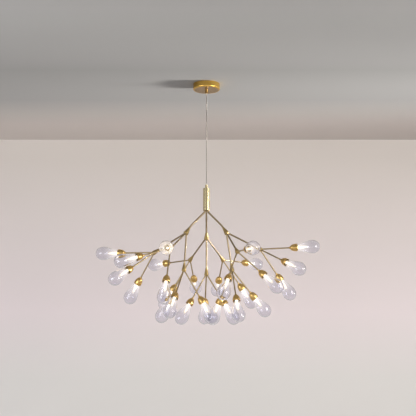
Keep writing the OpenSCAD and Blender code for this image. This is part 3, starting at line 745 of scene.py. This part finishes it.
class CHANDELIER_OT_add_cups(bpy.types.Operator):
    """Turn the bell-shaped lamp cups, with a grooved shoulder, retaining rings and set screws."""
    bl_idname = "chandelier.add_cups"
    bl_label = "Add lamp cups"

    def execute(self, context):
        s = sizes()
        back = -s.cup_length
        bell = back + s.cup_collar
        collar = s.stem_radius + COLLAR_WALL
        shoulder = -s.skirt_length
        bore = s.stem_radius + 0.0001
        groove = s.cup_radius - 0.0004
        inside = s.cup_radius - s.cup_wall
        inner_end = -0.020

        def outside(z):
            share = max(0.0, min(1.0, (z - bell) / (shoulder - bell)))
            bulge = (1 - (1 - share) ** s.cup_fullness) ** (1 / s.cup_fullness)
            return collar + (s.cup_radius - collar) * bulge

        profile = [(bore, back), (collar - 0.0003, back), (collar, back + 0.0003), (collar, bell - 0.0002)]
        steps = 18
        profile += [(outside(z), z) for z in
                    (bell + (shoulder - bell) * (i / steps) ** 2 for i in range(steps + 1))]
        profile += [(groove, shoulder + 0.0002), (groove, shoulder + 0.0009), (s.cup_radius, shoulder + 0.0011),
                    (s.cup_radius, -0.0005), (s.cup_radius - 0.0003, -0.0001), (s.cup_radius - 0.0009, -0.0001),
                    (inside, -0.0005), (inside, -s.ring_seat)]
        profile += [(outside(z) - s.cup_wall, z) for z in
                    (-s.ring_seat + (inner_end + s.ring_seat) * i / 8 for i in range(9))]
        profile += [(s.holder_radius + 0.0002, inner_end), (s.holder_radius + 0.0002, HOLDER_FOOT),
                    (bore, HOLDER_FOOT), (bore, back)]
        shell = dress(turned_piece("Cup Shell", profile), "Cup Brass")
        low = -s.ring_seat + 0.00005
        high = -0.005
        inner = s.neck_radius + 0.00005
        outer = inside - 0.00005
        # The ring's near-black colour is a painted shade at the cup's mouth.
        ring = dress(turned_piece("Retaining Ring", [
            (inner, low), (outer, low), (outer, high), (outer - 0.0004, high), (outer - 0.0007, high - 0.0005),
            (inner + 0.0012, high - 0.0005), (inner + 0.0008, high), (inner + 0.0003, high),
            (inner, high - 0.0003), (inner, low)]), "Ring Bronze Painted Shade")
        on_collar = Matrix.Translation((collar, 0, back + 0.0026)) @ turn("Y", 90)
        screw = dress(small_screw("Cup Screw", 0.0011, 0.0012, on_collar), "Screw Steel")
        cup = joined("Cup", [shell, ring, screw])
        for cluster in CLUSTER_TURNS:
            piece = copies_at("Cups_" + cluster, cup, mouth_places(cluster))
            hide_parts("lamp_cups_" + cluster)
            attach(piece, "cluster_" + cluster)
        remove(cup)
        return {"FINISHED"}


class CHANDELIER_OT_add_shades(bpy.types.Operator):
    """Blow the clear teardrop shades."""
    bl_idname = "chandelier.add_shades"
    bl_label = "Add glass shades"

    def execute(self, context):
        s = sizes()
        widest = s.shade_length - s.shade_end

        def side(inset, steps):
            points = ((s.neck_radius - inset, 0), (s.neck_radius - inset + 0.0025, widest * 0.29),
                      (s.shade_radius - inset, widest * 0.65), (s.shade_radius - inset, widest))
            found = []
            for i in range(steps + 1):
                u = i / steps
                weights = ((1 - u) ** 3, 3 * u * (1 - u) ** 2, 3 * u ** 2 * (1 - u), u ** 3)
                found.append(tuple(sum(w * p[k] for w, p in zip(weights, points)) for k in (0, 1)))
            return found

        def end(inset, steps):
            return round_end(s.shade_radius - inset, s.shade_end - inset, widest, steps, 1)

        bead = -s.ring_seat - 0.0002
        foot = bead - 0.0026
        wall = s.glass_wall
        neck = s.neck_radius
        profile = [(neck - wall, foot + 0.0003), (neck - wall + 0.0004, foot), (neck + 0.0005, foot),
                   (neck + 0.001, foot + 0.0006), (neck + 0.001, bead - 0.0006), (neck + 0.0006, bead),
                   (neck, bead + 0.0001)]
        profile += side(0, 18) + end(0, 16) + [(0, s.shade_length), (0, s.shade_length - wall)]
        profile += end(wall, 16)[::-1] + side(wall, 18)[::-1] + [(neck - wall, foot + 0.0003)]
        shade = dress(turned_piece("Shade", profile, 48, 60), "Shade Glass")
        for cluster in CLUSTER_TURNS:
            piece = copies_at("Shades_" + cluster, shade, mouth_places(cluster))
            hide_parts("glass_shades_" + cluster)
            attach(piece, "cluster_" + cluster)
        remove(shade)
        return {"FINISHED"}


class CHANDELIER_OT_add_lamps(bpy.types.Operator):
    """Model the lit capsule lamps in their ceramic holders."""
    bl_idname = "chandelier.add_lamps"
    bl_label = "Add lamps"

    def execute(self, context):
        s = sizes()
        seat = -0.014
        holder = s.holder_radius
        socket = dress(turned_piece("Lampholder", [
            (0, HOLDER_FOOT), (holder - 0.0005, HOLDER_FOOT), (holder, -0.0255), (holder, -0.0185),
            (holder - 0.0006, -0.018), (holder - 0.0006, -0.0172), (holder, -0.0167), (holder, seat - 0.0004),
            (holder - 0.0004, seat), (0.0035, seat), (0.0032, seat - 0.0004), (0, seat - 0.0004)]), "Porcelain")
        base_top = seat + 0.005
        foot = base_top - 0.0006
        base = dress(turned_piece("Lamp Base", [
            (0, seat), (holder - 0.0017, seat), (holder - 0.0015, seat + 0.0003), (holder - 0.0015, base_top - 0.001),
            (holder - 0.0019, foot), (0, foot)]), "Porcelain")
        tip = seat + s.capsule_length
        r = s.capsule_radius
        narrow = r * 0.8
        profile = [(0, foot), (holder - 0.002, foot), (r - 0.0004, base_top), (r, base_top + 0.0006)]
        profile += round_end(narrow, narrow, tip - narrow, 10) + [(0, tip)]
        envelope = dress(turned_piece("Lamp Envelope", profile, 32, 60), "Lamp Envelope")
        sleeve_top = tip - 0.004
        wide = r * 0.78
        slim = r * 0.46
        sleeve = [(0, base_top + 0.0004), (wide, base_top + 0.0004), (wide, base_top + 0.001)]
        sleeve += round_end(slim, slim, sleeve_top - slim, 8) + [(0, sleeve_top)]
        inner = dress(turned_piece("Lamp Sleeve", sleeve, 24, 60), "Lamp Sleeve")
        low = base_top + 0.001
        high = tip - 0.010
        foot_share = 0.52
        top_share = 0.24
        core = dress(turned_piece("Lamp Core", [
            (0, low), (r * foot_share, low), (r * foot_share, low + 0.001), (r * top_share, high - 0.001),
            (r * 0.2, high), (0, high)], 6, 20), "Lamp Core")
        chips = []
        rows = 6
        for row in range(rows):
            share = (row + 0.7) / (rows + 0.4)
            height = low + (high - low) * share
            width = 0.0014 - 0.00063 * share
            out = r * (foot_share - (foot_share - top_share) * share) * math.cos(math.radians(30))
            for side in range(6):
                on_side = turn("Z", 60 * side + 30) @ Matrix.Translation((out, 0, height))
                chips.append(led_chip(width, 0.00272, 0.0006, on_side))
        lit = dress(joined("Lamp Chips", chips), "Lamp Chip")
        pins = []
        for side in (-1, 1):
            pin = turned_piece("Lamp Pin", [(0, seat - 0.006), (0.0004, seat - 0.006), (0.0005, seat - 0.0058),
                                            (0.0005, seat + 0.0004), (0, seat + 0.0004)], 12)
            pin.location.x = side * 0.002
            select_only([pin])
            apply_place()
            pins.append(dress(pin, "Screw Steel"))
        lamp = joined("Lamp", [socket, base, envelope, inner, core, lit] + pins)
        for cluster in CLUSTER_TURNS:
            piece = copies_at("Lamps_" + cluster, lamp, mouth_places(cluster))
            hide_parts("lamps_" + cluster)
            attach(piece, "cluster_" + cluster)
        remove(lamp)
        return {"FINISHED"}


def fork_piece(name, inlet, outlet, splay):
    """A fork: a turned cone with a rolled rim and a coned plug, three outlet rings and a set screw."""
    s = sizes()
    half = math.asin(math.sin(splay) * math.sin(math.radians(60)))
    along = (outlet + s.outlet_web / 2) / math.sin(half)
    rim = along * math.sin(splay) + outlet * math.cos(splay) + s.outlet_rim
    top = (along - rim * math.sin(splay)) / math.cos(splay)
    tip_radius = 0.002
    tip = (along - tip_radius * math.sin(splay)) / math.cos(splay)
    low = top - s.fork_length
    collar = inlet + COLLAR_WALL
    collar_end = low + 0.004
    cone_end = top - 0.003
    profile = [(0, low + 0.0003), (inlet + 0.00005, low), (collar - 0.0004, low), (collar, low + 0.0004),
               (collar, low + 0.0037)]
    steps = 8
    profile += [(collar + (rim - collar) * u, collar_end + (cone_end - collar_end) * u)
                for u in (i / steps for i in range(steps + 1))]
    profile += [(rim, cone_end + 0.0004), (rim, top - 0.0006), (rim - 0.0004, top - 0.0001),
                (rim - 0.0006, top + 0.0003), (tip_radius + 0.0006, tip - 0.0004), (tip_radius - 0.0004, tip - 0.0001),
                (0, tip - 0.0001)]
    parts = [dress(turned_piece(name + " Cone", profile), "Fork Brass")]
    bore = outlet + 0.00003
    edge = outlet + 0.0009
    for third in THIRDS:
        ring = dress(turned_piece(name + " Ring", [
            (bore, along - 0.0012), (edge, along - 0.0012), (edge, along + 0.0002),
            (outlet + 0.0006, along + 0.0006), (bore, along + 0.0006), (bore, along - 0.0012)]), "Fork Brass")
        ring.matrix_world = turn("Z", third) @ turn("Y", math.degrees(splay))
        select_only([ring])
        apply_place()
        parts.append(ring)
    on_collar = turn("Z", 60) @ Matrix.Translation((collar, 0, low + 0.002)) @ turn("Y", 90)
    parts.append(dress(small_screw(name + " Screw", 0.001, 0.0012, on_collar), "Screw Steel"))
    return joined(name, parts), along


class CHANDELIER_OT_add_forks(bpy.types.Operator):
    """Turn the forks and set the lamp stems in them."""
    bl_idname = "chandelier.add_forks"
    bl_label = "Add forks and stems"

    def execute(self, context):
        s = sizes()
        main_fork, _ = fork_piece("Main Fork", s.main_radius, s.branch_radius, s.branch_splay)
        for main in MAINS:
            piece = copies_at("Fork_" + main, main_fork, [main_fork_place(main)])
            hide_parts("main_fork_" + main)
            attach(piece, "hub")
        remove(main_fork)
        lamp_fork, along = fork_piece("Lamp Fork", s.branch_radius, s.stem_radius, s.lamp_splay)
        bore = s.stem_radius - 0.0008
        start = along * 0.72
        end = s.stem_length - 0.0262
        stem = dress(turned_piece("Stem", [
            (bore, start), (s.stem_radius, start), (s.stem_radius, end - 0.0003), (s.stem_radius - 0.0003, end),
            (bore, end), (bore, start)], 28), "Stem Brass")
        for cluster in CLUSTER_TURNS:
            fork = copies_at("Fork_" + cluster, lamp_fork, [cluster_place(cluster)])
            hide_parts("lamp_fork_" + cluster)
            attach(fork, "cluster_" + cluster)
            stems = copies_at("Stems_" + cluster, stem, stem_places(cluster))
            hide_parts("lamp_fork_" + cluster)
            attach(stems, "cluster_" + cluster)
        remove(lamp_fork)
        remove(stem)
        return {"FINISHED"}


class CHANDELIER_OT_add_driver_housing(bpy.types.Operator):
    """Model the driver's housing in the canopy, with its lid line, sunk lid and rounded edges."""
    bl_idname = "chandelier.add_driver_housing"
    bl_label = "Add driver housing"

    def execute(self, context):
        low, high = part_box("led_driver")
        line_top = high.z - 0.005
        line_low = high.z - 0.0056
        deselect()
        bpy.ops.mesh.primitive_cube_add(size=1, location=(low + high) / 2, scale=high - low)
        case = context.object
        case.name = "Driver_Housing"
        apply_place()
        bpy.ops.object.mode_set(mode="EDIT")
        for height in (line_top, line_low):
            bpy.ops.mesh.select_all(action="SELECT")
            bpy.ops.mesh.bisect(plane_co=(0, 0, height), plane_no=(0, 0, 1))
        edit_faces(case, lambda face: line_low < face.center.z < line_top)
        bpy.ops.mesh.extrude_region_shrink_fatten(TRANSFORM_OT_shrink_fatten={"value": -0.0004})
        edit_faces(case, lambda face: face.normal.z > 0.9 and face.center.z > high.z - 0.0001)
        bpy.ops.mesh.inset(thickness=0.003)
        bpy.ops.mesh.extrude_region_move(TRANSFORM_OT_translate={"value": (0, 0, -0.0004)})
        bpy.ops.object.mode_set(mode="OBJECT")
        bevel_edges(case, 0.0012, 3)
        bpy.ops.object.shade_smooth_by_angle(angle=math.radians(35))
        dress(case, "Housing Plastic")
        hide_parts("led_driver")
        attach(case, "ceiling")
        return {"FINISHED"}


class CHANDELIER_OT_build_stage(bpy.types.Operator):
    """Build the pale room: ceiling, wall, floor, lamps and world."""
    bl_idname = "chandelier.build_stage"
    bl_label = "Build the stage"

    def execute(self, context):
        wall_y = 1.02
        floor_z = -2.6
        half = 5.5
        near_y = -7.0
        middle_y = (wall_y + near_y) / 2
        sheets = (
            ("Stage_Ceiling", "Ceiling Paint With Painted Light", (0, middle_y, 0.0006), (math.pi, 0, 0), (half * 2, wall_y - near_y)),
            ("Stage_Floor", "Floor Paint", (0, middle_y, floor_z), (0, 0, 0), (half * 2, wall_y - near_y)),
            ("Stage_Wall", "Wall Paint With Painted Shade", (0, wall_y, floor_z / 2), (math.pi / 2, 0, 0), (half * 2, -floor_z)),
        )
        for name, paint, location, rotation, extent in sheets:
            deselect()
            bpy.ops.mesh.primitive_plane_add(size=1, location=location, rotation=rotation)
            sheet = context.object
            sheet.name = name
            sheet.scale = (extent[0], extent[1], 1)
            apply_place()
            sheet.data.materials.append(finish(paint))
        middle = Vector((0, 0, -0.75))
        under_ceiling = Vector((0, 0, -0.05))
        hub_middle = Vector((0, 0, -0.5))
        softboxes = (
            ("Key_Light", (2.5, -1.8, -0.68), middle, (1.2, 1.2), 40.0, 180, (1.0, 0.98, 0.95)),
            ("Side_Light", (5.2, 0.0, -0.95), under_ceiling, (0.6, 0.6), 16.0, 20, (1.0, 0.97, 0.93)),
            ("Strip_Light", (2.0, -1.05, -0.32), hub_middle, (0.40, 0.56), 0.70, 100, (1.0, 0.97, 0.93)),
            ("Fill_Light", (-2.6, -2.6, -1.2), middle, (2.0, 2.0), 52.0, 180, (0.92, 0.95, 1.0)),
            ("Low_Light", (0.0, -3.4, -2.3), middle, (2.4, 2.4), 10.0, 180, (1.0, 0.98, 0.96)),
        )
        for name, location, target, size, energy, spread, colour in softboxes:
            deselect()
            facing = (target - Vector(location)).to_track_quat("-Z", "Y").to_euler()
            bpy.ops.object.light_add(type="AREA", location=location, rotation=facing)
            lamp = context.object
            lamp.name = name
            lamp.data.shape = "RECTANGLE"
            lamp.data.size, lamp.data.size_y = size
            lamp.data.energy = energy
            lamp.data.spread = math.radians(spread)
            lamp.data.color = colour
        world = bpy.data.worlds.new("Room")
        context.scene.world = world
        world.use_nodes = True
        tree = world.node_tree
        back = tree.nodes["Background"]
        back.inputs["Color"].default_value = (0.86, 0.85, 0.84, 1.0)
        direction = tree.nodes.new("ShaderNodeTexCoord")
        across = split(tree, direction.outputs["Generated"])["X"]
        left_strength = 0.62
        right_strength = 1.42
        tree.links.new(remap(tree, across, -1.0, 1.0, left_strength, right_strength), back.inputs["Strength"])
        context.scene.view_settings.view_transform = "Standard"
        return {"FINISHED"}


OPERATORS = (
    CHANDELIER_OT_place_camera,
    CHANDELIER_OT_finish_metalwork,
    CHANDELIER_OT_add_cups,
    CHANDELIER_OT_add_shades,
    CHANDELIER_OT_add_lamps,
    CHANDELIER_OT_add_forks,
    CHANDELIER_OT_add_driver_housing,
    CHANDELIER_OT_build_stage,
)


class CHANDELIER_PT_panel(bpy.types.Panel):
    """Lists the steps, sizes and finishes."""
    bl_label = "Branching Chandelier"
    bl_idname = "CHANDELIER_PT_panel"
    bl_space_type = "VIEW_3D"
    bl_region_type = "UI"
    bl_category = "Chandelier"

    def draw(self, context):
        for operator in OPERATORS:
            self.layout.operator(operator.bl_idname)
        for group in (context.scene.chandelier_sizes, context.scene.chandelier_finishes):
            box = self.layout.box()
            for name in group.__annotations__:
                box.prop(group, name)


CLASSES = (ChandelierSizes, ChandelierFinishes) + OPERATORS + (CHANDELIER_PT_panel,)


def register():
    for item in CLASSES:
        bpy.utils.register_class(item)
    bpy.types.Scene.chandelier_sizes = PointerProperty(type=ChandelierSizes)
    bpy.types.Scene.chandelier_finishes = PointerProperty(type=ChandelierFinishes)


def unregister():
    del bpy.types.Scene.chandelier_finishes
    del bpy.types.Scene.chandelier_sizes
    for item in reversed(CLASSES):
        bpy.utils.unregister_class(item)


def main():
    """Builds everything in order."""
    register()
    bpy.ops.chandelier.place_camera()
    bpy.ops.chandelier.finish_metalwork()
    bpy.ops.chandelier.add_cups()
    bpy.ops.chandelier.add_shades()
    bpy.ops.chandelier.add_lamps()
    bpy.ops.chandelier.add_forks()
    bpy.ops.chandelier.add_driver_housing()
    bpy.ops.chandelier.build_stage()
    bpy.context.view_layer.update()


if __name__ == "__main__":
    main()
